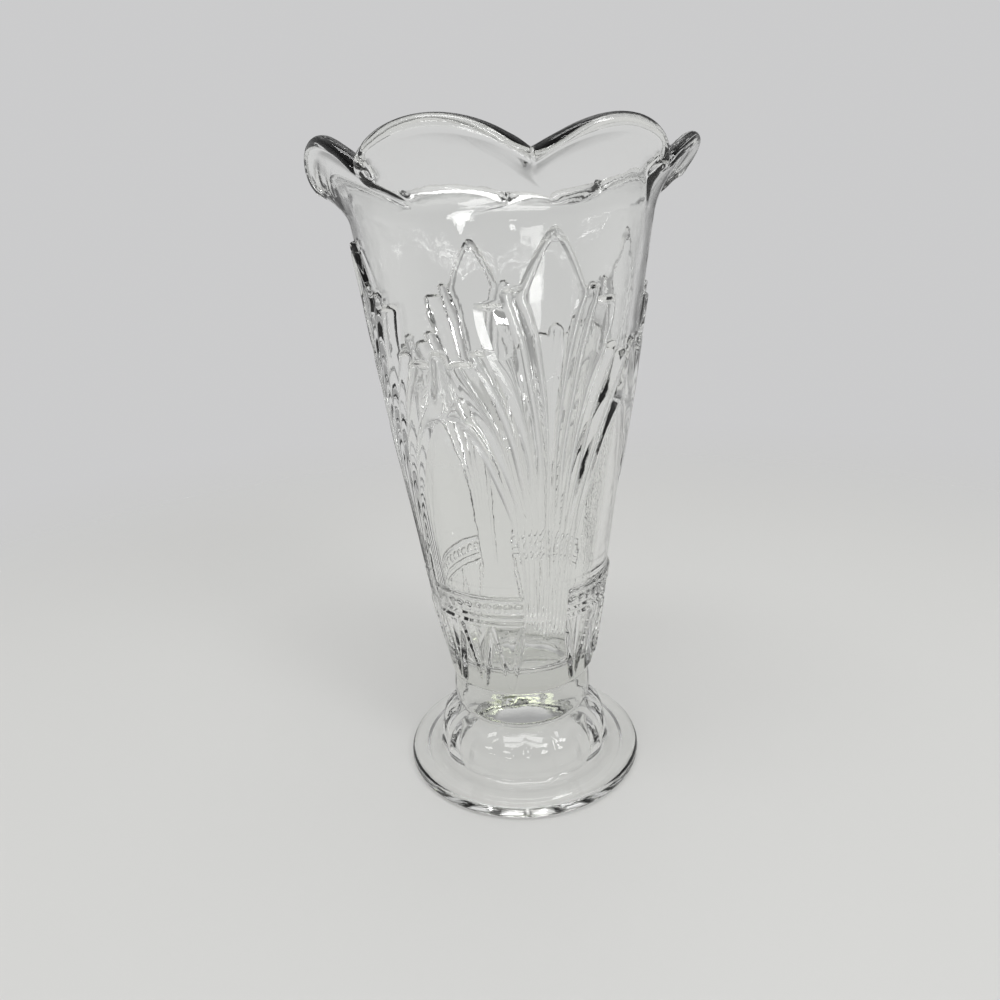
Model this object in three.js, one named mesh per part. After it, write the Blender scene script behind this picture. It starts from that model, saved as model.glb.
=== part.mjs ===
// Footed vase in clear pressed glass: a tall flared bowl with four sheaves of ribs
// and an eight-lobed rim, a solid collar, and a hollow domed foot.
// Millimetres, +Z up, origin at the centre of the foot's resting plane.
import * as THREE from 'three';

// Clearance between pieces that meet face to face
const JOINT_GAP = 0.3;

// Foot
const FOOT_RADIUS = 51.6;
const FOOT_EDGE_RADIUS = 2.8;
const FLANGE_SLOPE_RISE = 1.6;
const DOME_RADIUS = 38;
const DOME_SHOULDER_RADIUS = 34.5;
const FOOT_HEIGHT = 26;
const DOME_SHOULDER_DROP = 4.6;
const FOOT_GLASS = 5;
const FLANGE_TOP_SHARE = 0.75;
const DOME_FOOT_SHARE = 0.14;
const DOME_WAIST_SHARE = 0.6;
const DOME_WAIST_STEP = 1;
const DOME_CROWN_SHARE = 0.4;
const DOME_CROWN_DROP = 1;
const HOLLOW_CROWN_SHARE = 0.2;
const HOLLOW_SHOULDER_STEP = 1.5;
const HOLLOW_MOUTH_STEP = 1.2;
const RESTING_RING_WIDTH = 4.5;
const RESTING_RING_HEIGHT = 1.4;
const DOME_FLUTES = 16;
const DOME_FLUTE_DEPTH = 0.6;

// Collar, solid glass between foot and bowl
const COLLAR_HEIGHT = 17.2;
const COLLAR_BULGE = 1.4;
const COLLAR_FOOT_SEAT_RADIUS = 27;
const COLLAR_BOWL_SEAT_RADIUS = 28.6;
const COLLAR_LEVELS = { lowerCurve: 0.14, sideFoot: 0.36, sideHead: 0.6, upperCurve: 0.84 };
const COLLAR_LOWER_SHARE = 0.75;
const COLLAR_UPPER_SHARE = 0.6;

// Bowl outline: smooth ground radius at each level, without the ornament
const BOWL_HEEL_STEP = 2;
const BAND_RADIUS = 38;
const PANEL_TIP_RADIUS = 46.9;
const SHOULDER_RADIUS = 52.7;
const NECK_RADIUS = 55.6;

// Bowl heights, each zone measured up from the one below it
const HEEL_RISE = 4;
const LANCET_RISE = 31;
const BAND_RISE = 12;
const PANEL_RISE = 68.5;
const OUTER_RIB_RISE = 22.5;
const INNER_RIB_RISE = 3.5;
const SQUARE_RIB_RISE = 15;
const ROUND_RIB_RISE = 4.5;
const LEAF_TIP_RISE = 17.5;
const NECK_RISE = 5;
const NOTCH_RISE = 14;
const LOBE_RISE = 7.4;

// Bowl glass thickness and inside floor
const HEEL_WALL = 6;
const NECK_WALL = 3;
const FLOOR_THICKNESS = 8;
const FLOOR_CORNER = 7;
const FLOOR_CORNER_POINTS = [
  { inward: 0.08, rise: 0.6 },
  { inward: 0.4, rise: 0.12 },
  { inward: 1, rise: 0 },
];

// Rim: bead radius and the reach of its centre line
const BEAD_RADIUS = 2.4;
const NOTCH_RADIUS = 61.2;
const LOBE_REACH = 6.8;
const REACH_ROUNDNESS = 0.4;
const RISE_ROUNDNESS = 0.75;
const NECK_ROUNDNESS = 1.6;
const NECK_FLARE = 0.2;
const NOTCH_FLARE = 0.4;
const LOBE_FLARE = 1.1;
const LIP_TURN_RATE = 1.4;
// How the hand-shaped rim came out: each notch's azimuth and how far it dips, and how much
// farther and higher than the rest the lobe after it reaches
const RIM_SHAPE = [
  { notch: 8.5, dip: 1.3, reach: 2.2, lift: -0.1 },
  { notch: 54, dip: 2, reach: 0, lift: -0.4 },
  { notch: 91, dip: 1, reach: -0.6, lift: 0 },
  { notch: 137, dip: 0, reach: 1.6, lift: -4.2 },
  { notch: 178, dip: 0, reach: -0.6, lift: 0 },
  { notch: 224.5, dip: 0, reach: -0.6, lift: 0 },
  { notch: 270, dip: 1.5, reach: -1.2, lift: 2.1 },
  { notch: 317, dip: 0, reach: 2, lift: 1 },
];

// Ornament: four sheaves, their half angles in degrees, and relief heights
const SHEAVES = 4;
const SHEAF_AZIMUTH = 17;
const STEM_HALF_ANGLE = 14;
const FAN_HALF_ANGLE = 40.5;
const PANEL_TIP_ANGLE = 44.4;
const FAN_CURVE = 1.6;
const LEAF_TIP_SHARE = 0.08;
const LEAF_CURVE = 0.57;
const STEM_FADE_RISE = 9.8;
const STEM_RIB_HEIGHT = 0.8;
const RIB_HEIGHT = 1.7;
const GROOVE_HEIGHT = 0.3;
const LEAF_FACE_HEIGHT = 0.5;
const ARCH_HEIGHT = 1.3;
const ARCH_HOLLOW_HEIGHT = 0.55;
const LANCET_RIDGE_HEIGHT = 1.5;
const LANCET_FACE_HEIGHT = 0.3;
const LANCET_POINT_RISE = 2.5;
const STEP_RISE = 0.9;

// Band: its lines' height, its sunk middle, and the row of beads that stand on that
const BAND_LINE_HEIGHT = 0.9;
const BAND_MIDDLE_HEIGHT = 0.35;
const BEAD_CREST_HEIGHT = 1.5;
const BEAD_LEVELS = { lowLine: 0.29, low: 0.45, high: 0.8 };

// Mesh fineness
const COLLAR_SEGMENTS = 64;
const FOOT_SEGMENTS_PER_FLUTE = 5;
const PANEL_ROWS = 6;
const LIP_OUTSIDE_SHARES = [0.2, 0.5, 0.8];
const BEAD_ANGLES = [0, 45, 90, 135, 180];
const LIP_INSIDE_SHARES = [0.75, 0.35];
const LEAF_ROW_SHARE = 0.6;
const INSIDE_SHARES = [0, 0.35, 0.7];

// Columns of a half sheaf, from its centre line out: each one's share of the sheaf's half
// angle down in the stem and up in the fan
const SHEAF_COLUMNS = [
  { kind: 'leafFace', stem: 0, fan: 0 },
  { kind: 'leafInner', stem: 0.04, fan: 0.19 },
  { kind: 'leafCrest', stem: 0.1, fan: 0.235 },
  { kind: 'leafOuter', stem: 0.164, fan: 0.28 },
  { kind: 'roundRib', stem: 0.25, fan: 0.37 },
  { kind: 'groove', stem: 0.336, fan: 0.46 },
  { kind: 'squareRib', stem: 0.418, fan: 0.56 },
  { kind: 'groove', stem: 0.5, fan: 0.66 },
  { kind: 'innerRib', stem: 0.582, fan: 0.735 },
  { kind: 'groove', stem: 0.664, fan: 0.815 },
  { kind: 'outerRib', stem: 0.75, fan: 0.907 },
  { kind: 'groove', stem: 0.836, fan: 1 },
];
// Columns from the panel's edge to the midline between two sheaves: each one's share of
// the way across the lancets, at their points and at their tops
const PANEL_COLUMNS = [
  { kind: 'border', point: 0, top: 0 },
  { kind: 'lancetRidge', point: 0.3, top: 0.05 },
  { kind: 'lancetFace', point: 0.34, top: 0.34 },
  { kind: 'lancetRidge', point: 0.38, top: 0.6 },
  { kind: 'lancetRidge', point: 0.96, top: 0.74 },
  { kind: 'midline', point: 1, top: 1 },
];
const PANEL_CELLS = PANEL_COLUMNS.length - 1;
const HALF_COLUMNS = SHEAF_COLUMNS.length + PANEL_CELLS;
const HALF_TURN = 180 / SHEAVES;
const ARCH_HOLLOW_CELL = 3;

// Levels of the bowl above its own base
const LEVEL = { heel: HEEL_RISE };
LEVEL.bandBottom = LEVEL.heel + LANCET_RISE;
LEVEL.bandTop = LEVEL.bandBottom + BAND_RISE;
LEVEL.lowLine = LEVEL.bandBottom + BAND_RISE * BEAD_LEVELS.lowLine;
LEVEL.beadLow = LEVEL.bandBottom + BAND_RISE * BEAD_LEVELS.low;
LEVEL.beadHigh = LEVEL.bandBottom + BAND_RISE * BEAD_LEVELS.high;
LEVEL.panelTip = LEVEL.bandTop + PANEL_RISE;
LEVEL.outerRibTop = LEVEL.panelTip + OUTER_RIB_RISE;
LEVEL.innerRibTop = LEVEL.outerRibTop + INNER_RIB_RISE;
LEVEL.squareRibTop = LEVEL.innerRibTop + SQUARE_RIB_RISE;
LEVEL.roundRibTop = LEVEL.squareRibTop + ROUND_RIB_RISE;
LEVEL.leafTip = LEVEL.roundRibTop + LEAF_TIP_RISE;
LEVEL.neck = LEVEL.leafTip + NECK_RISE;
LEVEL.notch = LEVEL.neck + NOTCH_RISE;
LEVEL.archHollow = LEVEL.panelTip + OUTER_RIB_RISE / 2;

const toRadians = THREE.MathUtils.degToRad;
const { clamp, lerp, smoothstep } = THREE.MathUtils;

// A value that passes smoothly through [level, value] pairs
function smoothThrough(pairs, level) {
  const last = pairs.length - 1;
  let k = 0;
  while (k < last - 1 && level > pairs[k + 1][0]) k += 1;
  const slopeAt = (i) => {
    const a = pairs[Math.max(i - 1, 0)];
    const b = pairs[Math.min(i + 1, last)];
    return (b[1] - a[1]) / (b[0] - a[0]);
  };
  const [z0, r0] = pairs[k];
  const [z1, r1] = pairs[k + 1];
  const span = z1 - z0;
  const t = clamp((level - z0) / span, 0, 1);
  const rise = t * t * (3 - 2 * t);
  const start = t * (1 - t) * (1 - t) * span * slopeAt(k);
  const end = t * t * (t - 1) * span * slopeAt(k + 1);
  return r0 + (r1 - r0) * rise + start + end;
}

// Ground radius of the bowl's outside at a height
function groundRadius(level) {
  return smoothThrough([
    [0, COLLAR_BOWL_SEAT_RADIUS + BOWL_HEEL_STEP],
    [LEVEL.bandTop, BAND_RADIUS],
    [LEVEL.panelTip, PANEL_TIP_RADIUS],
    [LEVEL.roundRibTop, SHOULDER_RADIUS],
    [LEVEL.neck, NECK_RADIUS],
  ], level);
}

// Radius of the bowl's smooth inside at a height
function insideRadius(level) {
  return groundRadius(level) - lerp(HEEL_WALL, NECK_WALL, clamp(level / LEVEL.neck, 0, 1));
}

// How far the straight stem has spread into the fan at a height, 0 to 1
function spreadAt(level) {
  return clamp((level - LEVEL.bandTop) / PANEL_RISE, 0, 1) ** FAN_CURVE;
}

// How much of its full width the pointed leaf has at a height
function leafShare(level) {
  const left = clamp((LEVEL.leafTip - level) / (LEVEL.leafTip - LEVEL.squareRibTop), 0, 1);
  return Math.max(LEAF_TIP_SHARE, left ** LEAF_CURVE);
}

// Angle of one column from its sheaf's centre line, where it follows the ornament
function ornamentAngle(column, level) {
  if (!column.inPanel) {
    const angle = lerp(column.stem * STEM_HALF_ANGLE, column.fan * FAN_HALF_ANGLE, spreadAt(level));
    return column.kind.startsWith('leaf') ? angle * leafShare(level) : angle;
  }
  if (level < LEVEL.bandBottom) {
    const rise = clamp((level - LEVEL.heel) / LANCET_RISE, 0, 1);
    return lerp(STEM_HALF_ANGLE, HALF_TURN, lerp(column.point, column.top, rise));
  }
  if (level > LEVEL.panelTip) {
    return lerp(FAN_HALF_ANGLE, HALF_TURN, (column.cell + 1) / (PANEL_CELLS + 1));
  }
  const edge = lerp(STEM_HALF_ANGLE, PANEL_TIP_ANGLE, spreadAt(level));
  return lerp(edge, HALF_TURN, column.cell / PANEL_CELLS);
}

// Angle of one column from its sheaf's centre line: evenly spaced from the neck up
function columnAngle(column, level) {
  const even = (HALF_TURN * column.order) / HALF_COLUMNS;
  if (level >= LEVEL.neck) return even;
  if (column.kind.startsWith('leaf')) return ornamentAngle(column, level);
  const loosened = clamp((level - LEVEL.roundRibTop) / (LEVEL.neck - LEVEL.roundRibTop), 0, 1);
  return lerp(ornamentAngle(column, level), even, loosened);
}

// Relief of the band: two lines with a sunk middle between them
function bandRelief(level) {
  const sunk = level === LEVEL.beadLow || level === LEVEL.beadHigh;
  return sunk ? BAND_MIDDLE_HEIGHT : BAND_LINE_HEIGHT;
}

// Relief of the small round-topped arch above a panel's tip
function archRelief(column, level) {
  if (level > LEVEL.innerRibTop) return 0;
  const nearMidline = column.cell >= ARCH_HOLLOW_CELL;
  if (level > LEVEL.outerRibTop) return nearMidline ? ARCH_HEIGHT : GROOVE_HEIGHT;
  return level === LEVEL.archHollow && nearMidline ? ARCH_HOLLOW_HEIGHT : ARCH_HEIGHT;
}

// Relief between two sheaves: lancets, band, the plain pointed panel and the arch over it
function panelRelief(column, level) {
  if (level <= LEVEL.heel) return 0;
  if (level < LEVEL.bandBottom) {
    return column.kind === 'lancetRidge' ? LANCET_RIDGE_HEIGHT : LANCET_FACE_HEIGHT;
  }
  if (level <= LEVEL.bandTop) return bandRelief(level);
  if (level > LEVEL.panelTip) return archRelief(column, level);
  return column.kind === 'border' ? lerp(STEM_RIB_HEIGHT, RIB_HEIGHT, spreadAt(level)) : 0;
}

// Relief of one column of a sheaf at a height
function sheafRelief(kind, level) {
  const tops = {
    leafFace: LEVEL.leafTip,
    leafInner: LEVEL.leafTip,
    leafCrest: LEVEL.leafTip,
    leafOuter: LEVEL.roundRibTop,
    roundRib: LEVEL.roundRibTop,
    squareRib: LEVEL.squareRibTop,
    innerRib: LEVEL.innerRibTop,
    outerRib: LEVEL.outerRibTop,
    groove: LEVEL.innerRibTop,
  };
  if (level > tops[kind]) return 0;
  const fade = smoothstep(level, LEVEL.bandBottom - STEM_FADE_RISE, LEVEL.bandBottom);
  const crest = lerp(STEM_RIB_HEIGHT, RIB_HEIGHT, spreadAt(level));
  if (kind === 'leafFace' || kind === 'leafInner') {
    if (level === LEVEL.leafTip) return crest;
    return fade * (level > LEVEL.panelTip ? LEAF_FACE_HEIGHT : GROOVE_HEIGHT);
  }
  return fade * (kind === 'groove' || kind === 'leafOuter' ? GROOVE_HEIGHT : crest);
}

function reliefHeight(column, level) {
  return column.inPanel ? panelRelief(column, level) : sheafRelief(column.kind, level);
}

// All columns once round the bowl, mirrored about each centre line
function bowlColumns() {
  const half = [
    ...SHEAF_COLUMNS.map((c) => ({ ...c, inPanel: false })),
    ...PANEL_COLUMNS.map((c, cell) => ({ ...c, inPanel: true, cell })),
  ].map((c, order) => ({ ...c, order }));
  const columns = [];
  for (let sheaf = 0; sheaf < SHEAVES; sheaf += 1) {
    const centre = SHEAF_AZIMUTH + (360 / SHEAVES) * sheaf;
    half.forEach((c) => columns.push({ ...c, centre, side: 1 }));
    const back = half.slice(1, -1).reverse();
    back.forEach((c) => columns.push({ ...c, centre: centre + 360 / SHEAVES, side: -1 }));
  }
  return columns;
}

// Where a column meets the rim: its azimuth, how far it is from the notches beside it, and
// the heights and reaches between which it lies
function rimPlace(index, count) {
  const lobes = RIM_SHAPE.length;
  const position = (index / count) * lobes;
  const number = Math.floor(position) % lobes;
  const share = position - Math.floor(position);
  const from = RIM_SHAPE[number];
  const to = RIM_SHAPE[(number + 1) % lobes];
  const end = number + 1 < lobes ? to.notch : to.notch + 360;
  return {
    azimuth: lerp(from.notch, end, share),
    swing: Math.sin(Math.PI * share),
    low: LEVEL.notch - lerp(from.dip, to.dip, share),
    high: LEVEL.notch + LOBE_RISE + from.lift,
    wide: NOTCH_RADIUS + LOBE_REACH + from.reach,
  };
}

// Centre line of the flaring lip at a share of its length, with its direction
function lipCentre(rim, t) {
  const reach = rim.swing ** lerp(NECK_ROUNDNESS, REACH_ROUNDNESS, t);
  const rise = rim.swing ** RISE_ROUNDNESS;
  const start = new THREE.Vector2(NECK_RADIUS - NECK_WALL / 2, LEVEL.neck);
  const end = new THREE.Vector2(lerp(NOTCH_RADIUS, rim.wide, reach), lerp(rim.low, rim.high, rise));
  const third = start.distanceTo(end) / 3;
  const up = new THREE.Vector2(NECK_FLARE, 1).normalize().multiplyScalar(third);
  const out = new THREE.Vector2(lerp(NOTCH_FLARE, LOBE_FLARE, reach), 1).normalize();
  const pull = end.clone().sub(out.multiplyScalar(third));
  const curve = new THREE.CubicBezierCurve(start, start.clone().add(up), pull, end);
  return { point: curve.getPoint(t), along: curve.getTangent(t) };
}

// A point of the lip's section: angle 0 faces out, 90 faces the lip's end, 180 faces in
function lipPoint(rim, t, angle) {
  const { point, along } = lipCentre(rim, t);
  const outward = new THREE.Vector2(along.y, -along.x);
  const half = lerp(NECK_WALL / 2, BEAD_RADIUS, t ** 3);
  const turn = toRadians(angle);
  point.addScaledVector(outward, half * Math.cos(turn));
  return point.addScaledVector(along, half * Math.sin(turn));
}

// Heights of the rows up the ornamented outside
function outsideLevels() {
  const levels = [LEVEL.heel, LEVEL.heel + LANCET_POINT_RISE, LEVEL.bandBottom - STEM_FADE_RISE];
  levels.push(LEVEL.bandBottom - STEP_RISE, LEVEL.bandBottom, LEVEL.lowLine);
  levels.push(LEVEL.beadLow, LEVEL.beadHigh, LEVEL.bandTop, LEVEL.bandTop + STEP_RISE);
  for (let k = 1; k < PANEL_ROWS; k += 1) {
    levels.push(LEVEL.bandTop + (PANEL_RISE * k) / PANEL_ROWS);
  }
  levels.push(LEVEL.panelTip, LEVEL.panelTip + STEP_RISE, LEVEL.archHollow);
  levels.push(LEVEL.outerRibTop, LEVEL.outerRibTop + STEP_RISE);
  levels.push(LEVEL.innerRibTop, LEVEL.innerRibTop + STEP_RISE);
  levels.push(LEVEL.squareRibTop, LEVEL.squareRibTop + STEP_RISE);
  levels.push(LEVEL.roundRibTop, LEVEL.roundRibTop + STEP_RISE);
  levels.push(LEVEL.roundRibTop + LEAF_TIP_RISE * LEAF_ROW_SHARE);
  levels.push(LEVEL.leafTip, LEVEL.leafTip + STEP_RISE);
  return levels;
}

// The bowl's section as rows, from the outside of its base round to the inside of its floor
function bowlRows() {
  const rows = [{ onAxis: 0 }, { seat: COLLAR_BOWL_SEAT_RADIUS }];
  outsideLevels().forEach((level) => rows.push({ outside: level }));
  LIP_OUTSIDE_SHARES.forEach((t) => rows.push({ lip: [t, 0] }));
  BEAD_ANGLES.forEach((angle) => rows.push({ lip: [1, angle] }));
  LIP_INSIDE_SHARES.forEach((t) => rows.push({ lip: [t, 180] }));
  const floor = FLOOR_THICKNESS + FLOOR_CORNER;
  INSIDE_SHARES.forEach((t) => rows.push({ inside: lerp(LEVEL.leafTip, floor, t) }));
  const corner = insideRadius(floor);
  FLOOR_CORNER_POINTS.forEach(({ inward, rise }) => {
    rows.push({ floor: [corner - FLOOR_CORNER * inward, FLOOR_THICKNESS + FLOOR_CORNER * rise] });
  });
  rows.push({ onAxis: FLOOR_THICKNESS });
  return rows;
}

// Where one row crosses one column: radius, height and azimuth
function bowlPoint(row, column, rim) {
  const own = (level) => column.centre + column.side * columnAngle(column, level);
  if (row.onAxis !== undefined) return [0, row.onAxis, column.centre];
  if (row.seat !== undefined) return [row.seat, 0, own(0)];
  if (row.floor) return [row.floor[0], row.floor[1], own(LEVEL.neck)];
  if (row.inside !== undefined) return [insideRadius(row.inside), row.inside, own(LEVEL.neck)];
  if (row.outside !== undefined) {
    const level = row.outside;
    return [groundRadius(level) + reliefHeight(column, level), level, own(level)];
  }
  const [t, angle] = row.lip;
  const point = lipPoint(rim, t, angle);
  return [point.x, point.y, lerp(own(LEVEL.neck), rim.azimuth, Math.min(1, t * LIP_TURN_RATE))];
}

function around([radius, height, azimuth]) {
  const turn = toRadians(azimuth);
  return [radius * Math.sin(turn), -radius * Math.cos(turn), height];
}

// Bowl: a lathe whose columns are moved to follow the ribs below and the lobes above
function bowlGeometry() {
  const columns = bowlColumns();
  const rows = bowlRows();
  const places = columns.map((c, i) => rimPlace(i, columns.length));
  const outline = rows.map((row) => {
    const [radius, height] = bowlPoint(row, columns[0], places[0]);
    return new THREE.Vector2(radius, height);
  });
  const lathe = new THREE.LatheGeometry(outline, columns.length);
  const points = [];
  for (let i = 0; i <= columns.length; i += 1) {
    const k = i % columns.length;
    rows.forEach((row) => points.push(...around(bowlPoint(row, columns[k], places[k]))));
  }
  const faces = Array.from(lathe.index.array);
  const low = rows.findIndex((row) => row.outside === LEVEL.beadLow);
  columns.forEach((column, i) => {
    const next = columns[(i + 1) % columns.length];
    if (column.inPanel && next.inPanel) raiseBead(points, faces, i, low, rows.length);
  });
  const geometry = new THREE.BufferGeometry();
  geometry.setAttribute('position', new THREE.Float32BufferAttribute(points, 3));
  geometry.setIndex(faces);
  geometry.computeVertexNormals();
  return geometry;
}

// Splits the cell above a row into four faces that meet at a bead's crest
function raiseBead(points, faces, column, row, rowCount) {
  const corner = column * rowCount + row;
  const beside = corner + rowCount;
  const middle = new THREE.Vector3();
  [corner, corner + 1, beside, beside + 1].forEach((k) => {
    middle.add(new THREE.Vector3(points[3 * k], points[3 * k + 1], points[3 * k + 2]));
  });
  middle.divideScalar(4);
  const radius = Math.hypot(middle.x, middle.y);
  const crest = groundRadius(middle.z) + BEAD_CREST_HEIGHT;
  points.push((middle.x * crest) / radius, (middle.y * crest) / radius, middle.z);
  const apex = points.length / 3 - 1;
  const first = 6 * (column * (rowCount - 1) + row);
  faces.splice(first, 6, corner, beside, apex, beside, beside + 1, apex);
  faces.push(beside + 1, corner + 1, apex, corner + 1, corner, apex);
}

// A turned solid from [radius, height] pairs that run from the axis up the outside
function turned(pairs, segments) {
  const outline = pairs.map(([radius, height]) => new THREE.Vector2(radius, height));
  return new THREE.LatheGeometry(outline, segments).rotateX(Math.PI / 2);
}

// Collar: a plain ring of solid glass with a full round side
function collarGeometry() {
  const top = COLLAR_HEIGHT;
  const widest = COLLAR_BOWL_SEAT_RADIUS + COLLAR_BULGE;
  return turned([
    [0, 0],
    [COLLAR_FOOT_SEAT_RADIUS, 0],
    [lerp(COLLAR_FOOT_SEAT_RADIUS, widest, COLLAR_LOWER_SHARE), top * COLLAR_LEVELS.lowerCurve],
    [widest, top * COLLAR_LEVELS.sideFoot],
    [widest, top * COLLAR_LEVELS.sideHead],
    [COLLAR_BOWL_SEAT_RADIUS + COLLAR_BULGE * COLLAR_UPPER_SHARE, top * COLLAR_LEVELS.upperCurve],
    [COLLAR_BOWL_SEAT_RADIUS, top],
    [0, top],
  ], COLLAR_SEGMENTS);
}

// Foot's outside: rounded edge, sloping flange, then the dome up to the collar's seat
function footOutside() {
  const edge = FOOT_EDGE_RADIUS;
  const centre = FOOT_RADIUS - edge;
  const shoulder = FOOT_HEIGHT - DOME_SHOULDER_DROP;
  const flange = 2 * edge + FLANGE_SLOPE_RISE;
  const pairs = [-90, -45, 0, 45, 90].map((angle) => {
    const turn = toRadians(angle);
    return [centre + edge * Math.cos(turn), edge + edge * Math.sin(turn)];
  });
  pairs.push([lerp(centre, DOME_RADIUS, FLANGE_TOP_SHARE), flange]);
  pairs.push([DOME_RADIUS, lerp(flange, shoulder, DOME_FOOT_SHARE)]);
  pairs.push([DOME_RADIUS - DOME_WAIST_STEP, lerp(flange, shoulder, DOME_WAIST_SHARE)]);
  pairs.push([DOME_SHOULDER_RADIUS, shoulder]);
  const crown = lerp(COLLAR_FOOT_SEAT_RADIUS, DOME_SHOULDER_RADIUS, DOME_CROWN_SHARE);
  pairs.push([crown, FOOT_HEIGHT - DOME_CROWN_DROP]);
  pairs.push([COLLAR_FOOT_SEAT_RADIUS, FOOT_HEIGHT], [0, FOOT_HEIGHT]);
  return pairs;
}

// Foot's hollow underside, from the axis down to the inside of the resting ring
function footHollow() {
  const roof = FOOT_HEIGHT - FOOT_GLASS;
  const ring = FOOT_RADIUS - FOOT_EDGE_RADIUS - RESTING_RING_WIDTH;
  const wall = DOME_RADIUS - FOOT_GLASS;
  return [
    [0, roof],
    [DOME_SHOULDER_RADIUS - 2 * FOOT_GLASS, roof - FOOT_GLASS * HOLLOW_CROWN_SHARE],
    [wall - HOLLOW_SHOULDER_STEP, roof - FOOT_GLASS],
    [wall, RESTING_RING_HEIGHT + FOOT_GLASS / 2],
    [wall + HOLLOW_MOUTH_STEP, RESTING_RING_HEIGHT],
    [ring - RESTING_RING_HEIGHT, RESTING_RING_HEIGHT],
    [ring, 0],
  ];
}

// Foot: turned, then its dome drawn in between soft upright flutes
function footGeometry() {
  const geometry = turned([...footHollow(), ...footOutside()], DOME_FLUTES * FOOT_SEGMENTS_PER_FLUTE);
  const position = geometry.attributes.position;
  const flange = 2 * FOOT_EDGE_RADIUS + FLANGE_SLOPE_RISE;
  for (let i = 0; i < position.count; i += 1) {
    const place = new THREE.Vector3().fromBufferAttribute(position, i);
    const radius = Math.hypot(place.x, place.y);
    const outsideSeat = radius > COLLAR_FOOT_SEAT_RADIUS + DOME_CROWN_DROP;
    const onDome = outsideSeat && place.z > flange && place.z < FOOT_HEIGHT;
    if (!onDome) continue;
    const azimuth = Math.atan2(place.x, -place.y);
    const drawn = DOME_FLUTE_DEPTH * Math.abs(Math.cos((azimuth * DOME_FLUTES) / 2));
    const scale = (radius - drawn) / radius;
    position.setXYZ(i, place.x * scale, place.y * scale, place.z);
  }
  return geometry;
}

function glass(tint) {
  const settings = { color: tint, roughness: 0.03, metalness: 0, transparent: true, opacity: 0.35 };
  return new THREE.MeshStandardMaterial(settings);
}

function piece(name, geometry, tint, height) {
  const mesh = new THREE.Mesh(geometry, glass(tint));
  mesh.name = name;
  mesh.position.z = height;
  return mesh;
}

const collarBase = FOOT_HEIGHT + JOINT_GAP;
const bowlBase = collarBase + COLLAR_HEIGHT + JOINT_GAP;

const vase = new THREE.Group();
vase.add(piece('foot', footGeometry(), 0xdfe6e2, 0));
vase.add(piece('collar', collarGeometry(), 0xd9e1dc, collarBase));
vase.add(piece('bowl', bowlGeometry(), 0xe4eae6, bowlBase));

export default vase;
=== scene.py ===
"""Footed vase of clear pressed glass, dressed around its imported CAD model.

The pieces' sizes are millimetres, up from the table or out from the vase's axis, and
azimuths are degrees, 0 towards the viewer and growing to the right. The meshes are
written in metres, and the stage's sizes are metres.
"""
import logging
import math
from dataclasses import dataclass
from enum import Enum
from itertools import accumulate
from typing import Any, Sequence

import bmesh
import bpy
from bmesh.types import BMesh, BMFace, BMVert
from bpy.types import Material, Node, NodeTree, Object
from mathutils import Matrix, Quaternion, Vector


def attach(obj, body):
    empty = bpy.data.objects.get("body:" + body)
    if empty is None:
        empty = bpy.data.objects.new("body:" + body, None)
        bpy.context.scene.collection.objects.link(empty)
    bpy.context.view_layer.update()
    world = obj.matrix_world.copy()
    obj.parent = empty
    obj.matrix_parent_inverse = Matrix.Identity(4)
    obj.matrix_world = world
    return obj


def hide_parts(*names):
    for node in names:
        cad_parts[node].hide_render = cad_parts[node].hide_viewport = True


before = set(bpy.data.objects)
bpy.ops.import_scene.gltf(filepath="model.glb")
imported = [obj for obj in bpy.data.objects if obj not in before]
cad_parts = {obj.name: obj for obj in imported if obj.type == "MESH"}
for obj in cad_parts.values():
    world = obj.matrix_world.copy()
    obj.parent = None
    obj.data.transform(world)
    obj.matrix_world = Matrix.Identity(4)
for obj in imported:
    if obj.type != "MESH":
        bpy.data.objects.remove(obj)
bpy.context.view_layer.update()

MM = 0.001
ROW_LAYER = "row"
Pair = tuple[float, float]
Colour = tuple[float, float, float]

logging.basicConfig(level=logging.INFO, format="%(message)s")
log = logging.getLogger("vase")


def lerp(start: float, end: float, share: float) -> float:
    """Returns the value a share of the way from start to end."""
    return start + (end - start) * share


def smooth(low: float, high: float, value: float) -> float:
    """Returns 0 at low and 1 at high, eased at both ends; low may be the larger."""
    share = min(1.0, max(0.0, (value - low) / (high - low)))
    return share * share * (3 - 2 * share)


def arc(share: float) -> float:
    """Returns the height of a unit half circle, 0 at shares 0 and 1 and 1 at 0.5."""
    return math.sqrt(max(0.0, 1 - (2 * share - 1) ** 2))


def polar(radius: float, angle: float) -> Pair:
    """Returns a radius turned by an angle in degrees, as its parts along and across."""
    turn = math.radians(angle)
    return radius * math.cos(turn), radius * math.sin(turn)


@dataclass(frozen=True)
class Track:
    """A value that runs smoothly through its knots of (height, value)."""

    knots: tuple[Pair, ...]

    def slope(self, index: int) -> float:
        """Returns the slope at a knot, from its two neighbours."""
        before = self.knots[max(index - 1, 0)]
        after = self.knots[min(index + 1, len(self.knots) - 1)]
        return (after[1] - before[1]) / (after[0] - before[0])

    def at(self, height: float) -> float:
        """Returns the value at a height, held level beyond the ends."""
        last = len(self.knots) - 1
        index = 0
        while index < last - 1 and height > self.knots[index + 1][0]:
            index += 1
        low, high = self.knots[index], self.knots[index + 1]
        span = high[0] - low[0]
        t = min(1.0, max(0.0, (height - low[0]) / span))
        rise = t * t * (3 - 2 * t)
        leaving = t * (1 - t) ** 2 * span * self.slope(index)
        arriving = t * t * (t - 1) * span * self.slope(index + 1)
        return low[1] + (high[1] - low[1]) * rise + leaving + arriving


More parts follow.
